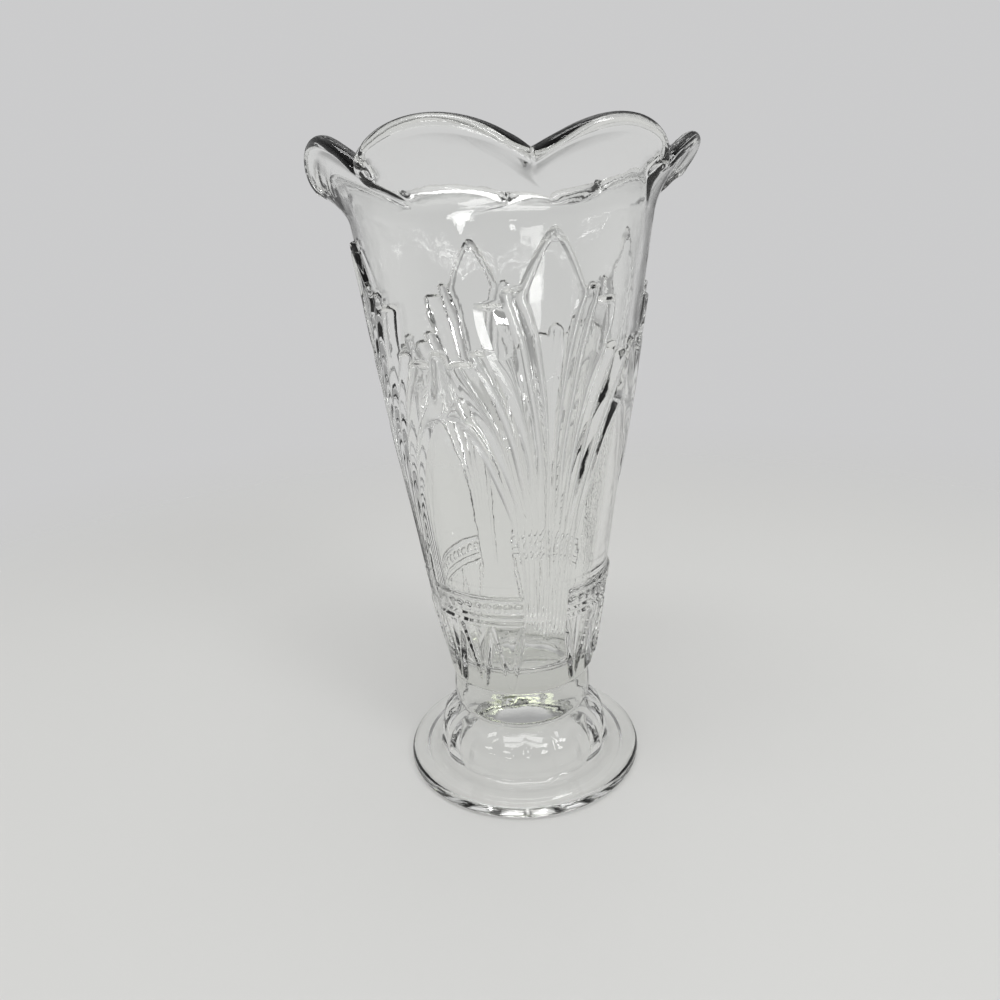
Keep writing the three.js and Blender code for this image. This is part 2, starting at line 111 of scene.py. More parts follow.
class Zone(Enum):
    """The strips that one half of a sheaf and its panel are cut into, centre line first."""

    LEAF_FACE = "leaf face"
    LEAF_RIM = "leaf rim"
    ROUND_RIB = "round-topped rib"
    SQUARE_RIB = "square-topped rib"
    INNER_RIB = "inner rib"
    OUTER_RIB = "outer rib"
    BORDER = "border of the panel"
    PANEL = "pointed panel"


@dataclass(frozen=True)
class Strip:
    """One strip: how many mesh columns it has and where its outer edge runs."""

    zone: Zone
    columns: int
    edge: Track


@dataclass(frozen=True)
class Column:
    """One mesh column: its strip, its share across it, and its sheaf."""

    strip: int
    share: float
    sheaf: float
    side: int
    index: int


class Part(Enum):
    """Which stretch of the bowl's section a mesh row belongs to."""

    PLAIN = "plain ring"
    OUTSIDE = "ornamented outside"
    LIP = "lip"
    INSIDE = "smooth inside"


@dataclass(frozen=True)
class Row:
    """One mesh row: its stretch, and the two numbers that place it there."""

    part: Part
    first: float
    second: float = 0.0


@dataclass(frozen=True)
class Petal:
    """One notch of the rim and the lobe after it, each with its own listed sizes.

    The notch has an azimuth and dips below its usual level. The lobe reaches farther out
    and is lifted higher than the usual one by reach and lift, all in millimetres. lean
    moves its highest point, towards the next notch where it is over 1.
    """

    notch: float
    dip: float
    reach: float
    lift: float
    lean: float = 1.0


@dataclass(frozen=True)
class RimPlace:
    """Where one column meets the rim.

    swing is 0 at a notch and 1 in the middle of a lobe, climb the same up to the lobe's
    highest point. The rim's centre line lies between low and high, and no farther out
    than wide.
    """

    azimuth: float
    swing: float
    climb: float
    low: float
    high: float
    wide: float


@dataclass(frozen=True)
class BowlSizes:
    """Sizes of the bowl, with the shares and exponents that shape its lip."""

    base: float = 43.66
    heel: float = 45.7
    band_bottom: float = 78.8
    band_top: float = 90.8
    panel_tip: float = 163.0
    outer_top: float = 181.8
    inner_top: float = 185.3
    square_top: float = 200.3
    round_top: float = 204.8
    leaf_shoulder: float = 203.0
    leaf_inner_tip: float = 218.3
    leaf_tip: float = 222.3
    neck: float = 227.3
    notch: float = 241.3
    lobe_rise: float = 7.4
    seat_radius: float = 28.6
    neck_radius: float = 55.6
    notch_radius: float = 61.2
    lobe_reach: float = 6.8
    reach_roundness: float = 0.4
    rise_roundness: float = 0.75
    neck_roundness: float = 1.6
    roundness_blend: float = 2.5
    lip_lean: float = 0.16
    lip_upright: float = 0.42
    lip_flared: float = 0.3
    lip_flare: Pair = (0.4, 1.1)
    lip_turned: float = 0.8
    fold: float = 0.16
    fold_bead: float = 0.7
    fold_reach: float = 0.45
    heel_wall: float = 6.0
    neck_wall: float = 3.0
    floor_top: float = 51.8
    floor_corner: float = 7.0
    bead_radius: float = 2.65
    ground: Track = Track(
        ((43.8, 30.6), (90.8, 38.0), (159.3, 46.9), (204.8, 52.7), (227.3, 55.6))
    )
    petals: tuple[Petal, ...] = (
        Petal(8.5, 1.3, 2.2, -0.1), Petal(54, 2, 0, -0.4), Petal(91, 1, -0.6, 0),
        Petal(137, -3, 1.6, -4.2), Petal(178, 0, -0.6, 0), Petal(224.5, -3.5, -0.6, 0),
        Petal(270, 1.5, -1.2, 2.1, 1.6), Petal(317, 0, 2, 1),
    )


@dataclass(frozen=True)
class ReliefSizes:
    """Sizes of the pressed ornament, with the shares and exponents that shape it.

    Pairs are two levels or places between which one form runs into the next.
    """

    sheaves: int = 4
    azimuth: float = 17.0
    stem: float = 14.0
    rib: float = 2.0
    rib_full_width: float = 4.0
    narrowing: float = 0.8
    plumpness: float = 1.35
    groove: float = 0.7
    corner: float = 0.9
    stem_share: float = 0.6
    stem_to_fan: Pair = (105.0, 150.0)
    flattening: Pair = (165.0, 180.0)
    border_share: float = 0.75
    leaf_face: float = 0.8
    leaf_opening: Pair = (150.0, 170.0)
    leaf_line_width: float = 2.4
    leaf_crest: float = 0.4
    leaf_roundness: float = 0.72
    leaf_closing: float = 0.8
    leaf_least: Pair = (0.12, 0.35)
    leaf_overlap: float = 0.3
    leaf_end: float = 0.6
    arch: float = 1.3
    arch_recess: float = 0.55
    arch_drop: float = 3.15
    arch_below: float = 3.0
    arch_above: float = 1.2
    arch_edge: Pair = (1.0, 0.7)
    arch_hollow: Pair = (0.45, 0.2)
    top_slope: float = 1.7
    fade_bottom: float = 69.0
    band_base: float = 0.35
    band_fade: float = 0.8
    band_lines: tuple[tuple[float, float, float], ...] = (
        (90.3, 0.95, 1.5), (82.3, 0.7, 1.15), (79.2, 0.8, 1.3)
    )
    bead_level: float = 86.3
    bead_radius: float = 1.95
    bead_height: float = 1.15
    beads: int = 10
    lancets: int = 3
    lancet_top: float = 78.2
    lancet_bottom: float = 45.9
    lancet_ridge: float = 1.75
    lancet_ridge_width: float = 1.3
    lancet_sharpness: float = 1.2
    lancet_roof: float = 0.9


@dataclass(frozen=True)
class Level:
    """What every column needs to know of one height."""

    height: float
    radius: float
    edges: tuple[float, ...]


@dataclass
class SheafRelief:
    """Where the strips of the ornament run, and how far they stand proud."""

    bowl: BowlSizes
    relief: ReliefSizes

    def __post_init__(self) -> None:
        """Works out the strips and the columns."""
        self.half = 180 / self.relief.sheaves
        self.strips = self._strips()
        self.columns = self._columns()

    def _strips(self) -> list[Strip]:
        """Returns the strips with their edges, in degrees from the sheaf's centre."""
        counts = (3, 5, 6, 6, 6, 6, 6, 30)
        even = [self.half * run / sum(counts) for run in accumulate(counts)]
        paths = (
            ((44, 0.3), (140, 0.35), (152, 0.8), (167, 1.9), (181, 3.9), (190, 5.6),
             (196, 7.3), (203, 9.1), (222.3, 0.12)),
            ((44, 2.3), (91, 2.3), (108, 2.4), (127, 2.7), (147, 3.1), (161, 4.4),
             (171, 6.0), (181, 7.8), (190, 9.8), (197, 12.0), (203, 13.2), (222.3, 0.35)),
            ((44, 4.7), (91, 4.7), (108, 4.9), (127, 5.5), (147, 6.8), (157, 8.3),
             (166, 10.1), (176, 12.1), (186, 14.2), (194.5, 16.6), (204, 19.3), (215, 17.0)),
            ((44, 7.0), (91, 7.0), (108, 7.3), (127, 8.8), (147, 11.8), (159, 14.7),
             (168, 17.8), (176, 21.4), (185, 25.6), (191.5, 27.8), (200, 28.4), (213, 23.5)),
            ((44, 9.3), (91, 9.3), (108, 9.8), (127, 12.0), (147, 16.6), (157, 19.4),
             (165, 22.3), (173.5, 26.4), (183, 31.6), (190, 33.0), (200, 33.0), (213, 28.0)),
            ((44, 11.7), (91, 11.7), (108, 12.5), (127, 16.2), (147, 23.2), (156.5, 27.8),
             (163, 31.6), (171, 36.3), (178, 39.8), (186, 41.0), (200, 39.0), (213, 32.5)),
            ((44, 14.0), (91, 14.0), (108, 15.4), (122, 18.8), (131, 22.4), (146, 29.4),
             (153, 33.6), (158, 37.8), (163, 44.4), (168, 44.7), (186, 44.7),
             (200, 43.6), (213, 37.0)),
            ((44, 45.0), (215, 45.0)),
        )
        return [
            Strip(zone, count, Track(path + ((self.bowl.neck, level),)))
            for zone, count, path, level in zip(Zone, counts, paths, even)
        ]

    def _columns(self) -> list[Column]:
        """Returns every column once round the bowl, mirrored about each centre line."""
        half = [(0, 0.0)]
        for number, strip in enumerate(self.strips):
            half += [(number, k / strip.columns) for k in range(1, strip.columns + 1)]
        columns: list[Column] = []
        for turn in range(self.relief.sheaves):
            centre = self.relief.azimuth + 2 * self.half * turn
            for number, share in half:
                columns.append(Column(number, share, centre, 1, len(columns)))
            for number, share in reversed(half[1:-1]):
                columns.append(Column(number, share, centre + 2 * self.half, -1, len(columns)))
        return columns

    def level(self, height: float) -> Level:
        """Returns the ground radius and the strips' outer edges at a height.

        Above its shoulder the leaf's edges follow a pointed arch.
        """
        bowl, relief = self.bowl, self.relief
        edges = [strip.edge.at(height) for strip in self.strips]
        if bowl.leaf_shoulder < height <= bowl.leaf_tip:
            for number, tip in enumerate((bowl.leaf_inner_tip, bowl.leaf_tip)):
                wide = self.strips[number].edge.at(bowl.leaf_shoulder)
                close = tip + relief.leaf_overlap
                share = max(0.0, (close - height) / (close - bowl.leaf_shoulder))
                width = wide * share ** relief.leaf_roundness
                edges[number] = max(relief.leaf_least[number], width)
        return Level(height, bowl.ground.at(height), tuple(edges))

    def offset(self, column: Column, level: Level) -> float:
        """Returns a column's angle from its sheaf's centre line at a level."""
        inner = level.edges[column.strip - 1] if column.strip else 0.0
        return lerp(inner, level.edges[column.strip], column.share)

    def proud(self, column: Column, level: Level) -> float:
        """Returns how far the surface stands out of the smooth ground, in millimetres."""
        zone = self.strips[column.strip].zone
        if zone is Zone.PANEL:
            return self._panel(column.share, level.height, level.radius)
        inner = level.edges[column.strip - 1] if column.strip else 0.0
        width = math.radians(level.edges[column.strip] - inner) * level.radius
        rise = self._sheaf(zone, column.share, level.height, width)
        opening = smooth(*self.relief.stem_to_fan, level.height)
        rise *= lerp(self.relief.stem_share, 1.0, opening)
        if level.height < self.bowl.band_bottom:
            rise *= smooth(self.relief.fade_bottom, self.bowl.band_bottom, level.height)
        return rise

    def creased(self, column: Column, height: float) -> bool:
        """Returns whether a column is a sharp groove or edge between strips at a height."""
        zone = self.strips[column.strip].zone
        low, high = self.relief.fade_bottom, self.bowl.leaf_tip
        if zone is Zone.SQUARE_RIB and column.share in (1 / 3, 2 / 3):
            return self.bowl.outer_top < height < self.bowl.square_top - self.relief.top_slope
        return column.share == 1.0 and zone is not Zone.PANEL and low < height < high

    def _rib(self, share: float, width: float, beside: float, flat: float = 0.0) -> float:
        """Returns a rib's height across its width, lower where the rib is narrow.

        Args:
            share: place across the rib, from inner to outer edge.
            width: the rib's width in millimetres.
            beside: 1 where the next rib out stands beside it, 0 above that rib's top.
            flat: the part of the width that is a flat crest between two facets.

        Returns:
            Millimetres out from the smooth ground.
        """
        climb = min(1.0, (1 - abs(2 * share - 1)) / (1 - flat))
        low = self.relief.groove * (beside if share > 0.5 else 1.0)
        return lerp(low, self._crest(width, self.relief.rib_full_width), self._plump(climb))

    def _crest(self, width: float, full_width: float) -> float:
        """Returns the height of a ridge's crest, which is lower under its full width."""
        share = min(1.0, (max(width, 0.01) / full_width) ** self.relief.narrowing)
        return self.relief.rib * share

    def _plump(self, climb: float) -> float:
        """Returns a ridge's rounded section, 0 at its foot and 1 on its crest."""
        return 1 - (1 - climb) ** self.relief.plumpness

    def _under(self, top: float, height: float) -> float:
        """Returns 1 under a top and 0 above it, with a sloping end."""
        return smooth(top, top - self.relief.top_slope, height)

    def _sheaf(self, zone: Zone, share: float, height: float, width: float) -> float:
        """Returns the relief of the sheaf's own strips.

        Args:
            zone: which strip.
            share: place across the strip, from its inner edge to its outer edge.
            height: level above the table.
            width: the strip's width in millimetres.

        Returns:
            Millimetres out from the smooth ground.
        """
        bowl, relief = self.bowl, self.relief
        if zone in (Zone.LEAF_FACE, Zone.LEAF_RIM):
            return self._leaf(zone, share, height, width)
        if zone is Zone.BORDER:
            low, high = bowl.panel_tip - relief.arch_below, bowl.panel_tip + relief.arch_above
            closed = smooth(low, high, height)
            line = self._rib(share, width, 0.0) * relief.border_share
            return lerp(line, self._arch(1 - share, height), closed)
        ribs = {
            Zone.ROUND_RIB: (bowl.round_top, width / 2, bowl.square_top),
            Zone.SQUARE_RIB: (bowl.square_top, 0.0, bowl.inner_top),
            Zone.INNER_RIB: (bowl.inner_top, relief.corner, bowl.outer_top),
            Zone.OUTER_RIB: (bowl.outer_top, relief.corner, bowl.outer_top),
        }
        top, rounding, next_top = ribs[zone]
        flat = smooth(*relief.flattening, height) / 3 if zone is Zone.SQUARE_RIB else 0.0
        rib = self._rib(share, width, self._under(next_top, height), flat)
        return rib * self._under(top - rounding * (1 - arc(share)), height)

    def _leaf(self, zone: Zone, share: float, height: float, width: float) -> float:
        """Returns the relief of the leaf's face or of the raised line round it."""
        bowl, relief = self.bowl, self.relief
        if height > bowl.leaf_tip:
            return 0.0
        tip, reach = bowl.leaf_inner_tip, relief.leaf_closing
        closed = smooth(tip - reach, tip + reach, height)
        face = lerp(relief.groove, relief.leaf_face, smooth(*relief.leaf_opening, height))
        end = smooth(bowl.leaf_tip, bowl.leaf_tip - relief.top_slope * relief.leaf_end, height)
        crest = relief.rib
        if height < bowl.round_top:
            crest = self._crest(width, relief.leaf_line_width)
        if zone is Zone.LEAF_FACE:
            return lerp(face, crest, closed) * end
        across = lerp(share, 0.5 + share / 2, closed)
        if across > relief.leaf_crest:
            climb = (1 - across) / (1 - relief.leaf_crest)
            low = relief.groove * self._under(bowl.round_top, height)
        else:
            climb, low = across / relief.leaf_crest, face
        return lerp(low, crest, self._plump(climb)) * end

    def _arch(self, reach: float, height: float) -> float:
        """Returns the small arch over the panel's tip; reach is 0 on the midline, 1 outside."""
        bowl, relief = self.bowl, self.relief
        top = bowl.inner_top - relief.arch_drop * (1 - math.sqrt(max(0.0, 1 - reach * reach)))
        rise = smooth(*relief.arch_edge, reach)
        hollow = smooth(*relief.arch_hollow, reach) * smooth(top - 1.6, top - 3.4, height)
        hollow *= smooth(bowl.panel_tip + 1, bowl.panel_tip + 6, height)
        crest = lerp(relief.arch, relief.arch_recess, hollow)
        return lerp(relief.groove, crest, rise) * self._under(top, height)

    def _panel(self, share: float, height: float, radius: float) -> float:
        """Returns the relief between two stems: lancets, beaded band, pointed panel, arch."""
        bowl, relief = self.bowl, self.relief
        if height > bowl.panel_tip - relief.arch_below:
            low, high = bowl.panel_tip - relief.arch_below / 2, bowl.panel_tip + relief.arch_above
            return smooth(low, high, height) * self._arch(0.0, height)
        gap = math.radians(self.half - relief.stem) * radius
        if height >= relief.band_lines[-1][0] - relief.band_fade:
            return self._band(share, height, gap)
        return self._lancets(share, height, gap)

    def _band(self, share: float, height: float, gap: float) -> float:
        """Returns the band's lines and beads; gap is half its length in millimetres."""
        relief = self.relief
        low, high, fade = relief.band_lines[-1][0], relief.band_lines[0][0], relief.band_fade
        base = relief.band_base * smooth(high + fade, high, height)
        base *= smooth(low - fade, low, height)
        rise = base
        for level, half_width, crest in relief.band_lines:
            reach = abs(height - level) / half_width
            if reach < 1:
                rise = max(rise, base + (crest - base) * (1 - reach * reach))
        per_half = relief.beads / 2
        pitch = gap / per_half
        aside = ((share * per_half) % 1 - 0.5) * pitch
        away = (aside ** 2 + (height - relief.bead_level) ** 2) / relief.bead_radius ** 2
        if away < 1:
            rise = max(rise, base + relief.bead_height * math.sqrt(1 - away))
        return rise

    def _lancets(self, share: float, height: float, gap: float) -> float:
        """Returns the down-pointing lancets with ridged sides, under the band."""
        relief = self.relief
        spread = (height - relief.lancet_bottom) / (relief.lancet_top - relief.lancet_bottom)
        if spread <= 0:
            return 0.0
        spread = min(1.0, spread)
        pitch = 2 * gap / relief.lancets
        phase = (share * relief.lancets / 2) % 1
        aside = abs(phase - 0.5)
        edge = (aside - spread / 2) * pitch
        ridge = max(0.0, 1 - (edge / relief.lancet_ridge_width) ** 2)
        fade = smooth(0, 0.12, spread)
        fade *= smooth(relief.lancet_top + 0.6, relief.lancet_top - 0.4, height)
        roof = 0.0
        if edge < 0:
            roof = relief.lancet_roof * (1 - aside / max(spread / 2, 1e-3)) * min(1.0, spread * 2)
        return fade * max(relief.lancet_ridge * ridge ** relief.lancet_sharpness, roof)


def new_piece(
    name: str, bm: BMesh, materials: Sequence[Material], joints: Sequence[tuple[int, int]] = ()
) -> Object:
    """Makes a scene object from a finished bmesh, which is freed.

    Args:
        name: the piece's name.
        bm: the mesh, in millimetres.
        materials: the piece's materials, in slot order.
        joints: pairs of neighbouring rows between which pieces are fused. The faces there
            take the second material, inside a sharp rim.

    Returns:
        The new object, at the origin and in metres.
    """
    layer = bm.verts.layers.int.get(ROW_LAYER)
    fused = {frozenset(pair) for pair in joints}
    for face in bm.faces:
        face.smooth = True
        if fused and {vertex[layer] for vertex in face.verts} in fused:
            face.material_index = 1
    for edge in bm.edges:
        if len({face.material_index for face in edge.link_faces}) > 1:
            edge.smooth = False
    bmesh.ops.scale(bm, vec=(MM, MM, MM), verts=bm.verts)
    mesh = bpy.data.meshes.new(name)
    bm.to_mesh(mesh)
    bm.free()
    for material in materials:
        mesh.materials.append(material)
    piece = bpy.data.objects.new(name, mesh)
    bpy.context.scene.collection.objects.link(piece)
    return piece


def spin_section(section: Sequence[Pair], steps: int) -> BMesh:
    """Spins a section that starts and ends on the axis into a closed solid.

    One eighth is spun, then doubled three times, which is quicker than a full spin.

    Args:
        section: points of (radius, height) in millimetres, up the outside first.
        steps: how many columns the full turn has, a multiple of eight.

    Returns:
        The mesh in millimetres, with each vertex's section index in the row layer.
    """
    bm = bmesh.new()
    layer = bm.verts.layers.int.new(ROW_LAYER)
    chain = []
    for number, (radius, height) in enumerate(section):
        vertex = bm.verts.new((0.0, -radius, height))
        vertex[layer] = number
        chain.append(vertex)
    edges = [bm.edges.new(pair) for pair in zip(chain, chain[1:])]
    eighth = math.pi / 4
    bmesh.ops.spin(
        bm, geom=chain + edges, cent=(0, 0, 0), axis=(0, 0, 1), dvec=(0, 0, 0),
        angle=eighth, steps=steps // 8, use_merge=False, use_duplicate=False,
    )
    for turn in (eighth, 2 * eighth, 4 * eighth):
        copied = bmesh.ops.duplicate(bm, geom=bm.verts[:] + bm.edges[:] + bm.faces[:])
        moved = [item for item in copied["geom"] if isinstance(item, BMVert)]
        bmesh.ops.rotate(bm, verts=moved, cent=(0, 0, 0), matrix=Matrix.Rotation(turn, 3, "Z"))
    bmesh.ops.remove_doubles(bm, verts=bm.verts, dist=1e-4)
    bmesh.ops.recalc_face_normals(bm, faces=bm.faces)
    return bm


@dataclass
class Bowl:
    """The tall flared bowl with its sheaves, band, lancets and eight-lobed rim."""

    NAME = "vase_bowl"
    sizes: BowlSizes = BowlSizes()
    relief: ReliefSizes = ReliefSizes()

    def __post_init__(self) -> None:
        """Works out the rows and where each column meets the rim."""
        self.ornament = SheafRelief(self.sizes, self.relief)
        self.rows = self._rows()
        self.rims = [self.rim_place(column.index) for column in self.ornament.columns]

    def _levels(self) -> list[float]:
        """Returns the heights of the ornamented outside's rows, closer where detail is fine."""
        runs = (
            (45.7, 77.0, 19), (77.0, 92.0, 25), (92.0, 156.0, 28), (156.0, 163.0, 8),
            (163.0, 179.0, 7), (179.0, 186.5, 12), (186.5, 197.0, 5), (197.0, 206.0, 13),
            (206.0, 215.5, 7), (215.5, 222.9, 11), (222.9, 227.3, 2),
        )
        levels = [runs[0][0]]
        for low, high, count in runs:
            levels += [lerp(low, high, k / count) for k in range(1, count + 1)]
        return levels

    def _rows(self) -> list[Row]:
        """Returns the rows of the section, from the base round the rim to the floor."""
        sizes = self.sizes
        heel = sizes.ground.at(sizes.heel)
        rows = [Row(Part.PLAIN, 0.0, sizes.base), Row(Part.PLAIN, sizes.seat_radius, sizes.base)]
        for share in (0.15, 0.42, 0.72):
            radius = lerp(sizes.seat_radius, heel, math.sin(share * math.pi / 2))
            rows.append(Row(Part.PLAIN, radius, lerp(sizes.base, sizes.heel, share)))
        rows += [Row(Part.OUTSIDE, level) for level in self._levels()]
        outside = (0.07, 0.15, 0.24, 0.34, 0.45, 0.56, 0.67, 0.77, 0.86, 0.94)
        rows += [Row(Part.LIP, t, 0) for t in outside]
        rows += [Row(Part.LIP, 1.0, 180 * k / 10) for k in range(11)]
        rows += [Row(Part.LIP, t, 180) for t in (0.92, 0.81, 0.67, 0.52, 0.36, 0.2, 0.05)]
        floor = sizes.floor_top + sizes.floor_corner
        rows += [Row(Part.INSIDE, lerp(sizes.leaf_tip, floor, k / 6)) for k in range(7)]
        corner = self.inside_radius(floor) - sizes.floor_corner
        for angle in (20, 42, 66, 90):
            out, down = polar(sizes.floor_corner, angle)
            rows.append(Row(Part.PLAIN, corner + out, floor - down))
        return rows + [Row(Part.PLAIN, radius, sizes.floor_top) for radius in (corner / 2, 0.0)]

    def inside_radius(self, height: float) -> float:
        """Returns the radius of the smooth inside at a height."""
        sizes = self.sizes
        low = sizes.ground.knots[0][0]
        share = min(1.0, max(0.0, (height - low) / (sizes.neck - low)))
        return sizes.ground.at(height) - lerp(sizes.heel_wall, sizes.neck_wall, share)

    @staticmethod
    def soft(swing: float, fold: float) -> float:
        """Returns a swing with its sharp turn at the notch rounded off."""
        return (math.hypot(swing, fold) - fold) / (math.hypot(1, fold) - fold)

    def lip(self, rim: RimPlace, share: float, angle: float) -> Pair:
        """Returns the radius and height of a point on the flaring lip's section.

        Args:
            rim: where the column meets the rim.
            share: place along the lip, 0 at the neck and 1 at the rim's bead.
            angle: place round the section, 0 outside, 90 at the end and 180 inside.
        """
        sizes = self.sizes
        blend = share ** sizes.roundness_blend
        roundness = lerp(sizes.neck_roundness, sizes.reach_roundness, blend)
        reach = self.soft(rim.swing, sizes.fold) ** roundness
        rise = self.soft(rim.climb, sizes.fold) ** sizes.rise_roundness
        start = Vector((sizes.neck_radius - sizes.neck_wall / 2, sizes.neck))
        end = Vector((lerp(sizes.notch_radius, rim.wide, reach), lerp(rim.low, rim.high, rise)))
        length = (end - start).length
        up = Vector((sizes.lip_lean, 1)).normalized() * length * sizes.lip_upright
        out = Vector((lerp(*sizes.lip_flare, reach), 1)).normalized() * length * sizes.lip_flared
        points = (start, start + up, end - out, end)
        back = 1 - share
        weights = (back ** 3, 3 * back * back * share, 3 * back * share * share, share ** 3)
        place = sum((p * w for p, w in zip(points, weights)), Vector((0, 0)))
        along = (
            (points[1] - points[0]) * back * back
            + (points[2] - points[1]) * 2 * back * share
            + (points[3] - points[2]) * share * share
        ).normalized()
        outward = Vector((along.y, -along.x))
        bead = sizes.bead_radius + sizes.fold_bead * smooth(sizes.fold_reach, 0, rim.swing)
        half = lerp(sizes.neck_wall / 2, bead, share ** 3)
        turn = math.radians(angle)
        place += (outward * math.cos(turn) + along * math.sin(turn)) * half
        return place.x, place.y

    def rim_place(self, index: int) -> RimPlace:
        """Returns where a column meets the rim."""
        sizes = self.sizes
        count = len(sizes.petals)
        position = index / len(self.ornament.columns) * count
        number = int(position) % count
        share = position - int(position)
        petal, after = sizes.petals[number], sizes.petals[(number + 1) % count]
        end = after.notch if number + 1 < count else after.notch + 360
        return RimPlace(
            lerp(petal.notch, end, share),
            math.sin(math.pi * share),
            math.sin(math.pi * share ** petal.lean),
            sizes.notch - lerp(petal.dip, after.dip, share),
            sizes.notch + sizes.lobe_rise + petal.lift,
            sizes.notch_radius + sizes.lobe_reach + petal.reach,
        )

    def place(self, row: Row, column: Column, level: Level) -> tuple[float, float, float]:
        """Returns the radius, height and azimuth where a row crosses a column."""
        own = column.sheaf + column.side * self.ornament.offset(column, level)
        if row.part is Part.PLAIN:
            return row.first, row.second, own
        if row.part is Part.INSIDE:
            return self.inside_radius(row.first), row.first, own
        if row.part is Part.OUTSIDE:
            return level.radius + self.ornament.proud(column, level), row.first, own
        rim = self.rims[column.index]
        radius, height = self.lip(rim, row.first, row.second)
        return radius, height, lerp(own, rim.azimuth, smooth(0, self.sizes.lip_turned, row.first))

    def level_of(self, row: Row) -> Level:
        """Returns the level whose strips the columns follow on a row."""
        if row.part is Part.OUTSIDE:
            return self.ornament.level(row.first)
        if row.part is Part.PLAIN and row.second < self.sizes.heel and row.first > 0:
            return self.ornament.level(self.sizes.heel)
        return self.ornament.level(self.sizes.neck)

    def build(self, materials: Sequence[Material]) -> Object:
        """Returns the bowl, spun and then moved row by row and column by column."""
        columns = self.ornament.columns
        section = []
        for row in self.rows:
            plain = row.part is Part.PLAIN
            section.append((row.first, row.second) if plain else (40.0, 100.0 + len(section)))
        bm = spin_section(section, len(columns))
        layer = bm.verts.layers.int[ROW_LAYER]
        levels = [self.level_of(row) for row in self.rows]
        step = 360 / len(columns)
        creased: dict[BMVert, int] = {}
        mirrored: set[BMVert] = set()
        for vertex in bm.verts:
            row = self.rows[vertex[layer]]
            azimuth = math.degrees(math.atan2(vertex.co.x, -vertex.co.y)) % 360
            column = columns[round(azimuth / step) % len(columns)]
            radius, height, azimuth = self.place(row, column, levels[vertex[layer]])
            ahead, aside = polar(radius, azimuth)
            vertex.co = (aside, -ahead, height)
            if row.part is Part.OUTSIDE and self.ornament.creased(column, row.first):
                creased[vertex] = column.index
            if column.side < 0:
                mirrored.add(vertex)
        for edge in bm.edges:
            first, second = (creased.get(vertex) for vertex in edge.verts)
            if first is not None and first == second:
                edge.smooth = False
        self.split(bm, mirrored)
        return new_piece(self.NAME, bm, materials, [(0, 1)])

    def split(self, bm: BMesh, mirrored: set[BMVert]) -> None:
        """Splits the faces into triangles, along the ribs where they fan out.

        Args:
            bm: the finished bowl, in millimetres.
            mirrored: the vertices on the mirrored side of a sheaf.
        """
        layer = bm.verts.layers.int[ROW_LAYER]
        groups: dict[tuple[int, bool], list[BMFace]] = {}
        for face in bm.faces:
            number = min(vertex[layer] for vertex in face.verts)
            row = self.rows[number]
            if row.part is Part.OUTSIDE and row.first > self.sizes.band_top:
                side = any(vertex in mirrored for vertex in face.verts)
                groups.setdefault((number, side), []).append(face)
        chosen: dict[str, list[BMFace]] = {"FIXED": [], "ALTERNATE": []}
        for faces in groups.values():
            first, second = (
                sum((face.verts[k].co - face.verts[k + 2].co).length for face in faces)
                for k in (0, 1)
            )
            chosen["FIXED" if first < second else "ALTERNATE"] += faces
        for method, faces in chosen.items():
            bmesh.ops.triangulate(bm, faces=faces, quad_method=method)
        bmesh.ops.triangulate(bm, faces=bm.faces, quad_method="SHORT_EDGE")


@dataclass(frozen=True)
class Collar:
    """The plain ring of solid glass between bowl and foot."""

    NAME = "vase_collar"
    base: float = 26.16
    top: float = 43.64
    foot_seat: float = 27.0
    bowl_seat: float = 28.6
    radius: float = 30.0
    columns: int = 144

    def section(self) -> list[Pair]:
        """Returns the ring's section: a full round side between two seats."""
        height = self.top - self.base
        points = [(0.0, self.base), (self.foot_seat, self.base)]
        outline = Track((
            (0.0, self.foot_seat), (0.16, lerp(self.foot_seat, self.radius, 0.78)),
            (0.38, self.radius), (0.6, self.radius), (0.84, lerp(self.bowl_seat, self.radius, 0.6)),
            (1.0, self.bowl_seat),
        ))
        points += [(outline.at(k / 14), self.base + height * k / 14) for k in range(1, 15)]
        return points + [(0.0, self.top)]

    def build(self, materials: Sequence[Material]) -> Object:
        """Returns the collar."""
        section = self.section()
        bm = spin_section(section, self.columns)
        last = len(section) - 1
        return new_piece(self.NAME, bm, materials, [(0, 1), (last - 1, last)])


